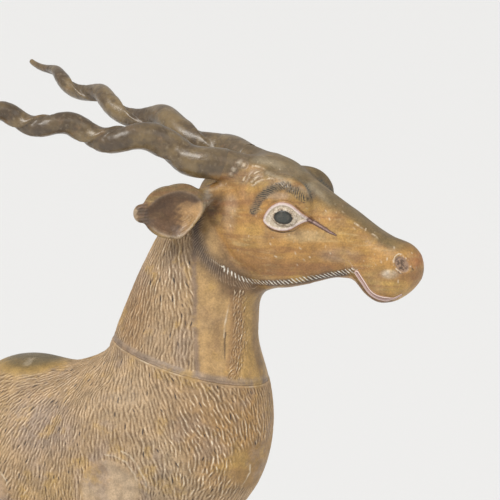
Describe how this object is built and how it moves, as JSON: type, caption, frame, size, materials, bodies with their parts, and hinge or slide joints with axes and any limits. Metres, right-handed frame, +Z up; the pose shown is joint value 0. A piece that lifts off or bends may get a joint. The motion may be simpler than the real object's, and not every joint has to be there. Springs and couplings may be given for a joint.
{
  "type": "carved wooden antelope statue",
  "caption": "Standing antelope carved in wood, with corkscrew horns swept back over the neck, incised fur and painted eyes, on a low rectangular plinth.",
  "frame": {"origin": "middle of the plinth's underside", "axes": "+X the way the animal faces, +Y its left side, +Z up"},
  "size_m": [0.8365, 0.4196, 0.9581],
  "materials": {
    "painted_fur": "worn ochre paint over carved fur, satin",
    "painted_head": "worn ochre paint, satin",
    "stained_horn": "dark olive brown stain, semi-gloss",
    "plinth_wood": "dark brown stain, satin"
  },
  "bodies": {
    "root": {"body": "painted_fur", "head_and_neck": "painted_head", "horn_left": "stained_horn", "horn_right": "stained_horn", "plinth": "plinth_wood"}
  },
  "joints": []
}
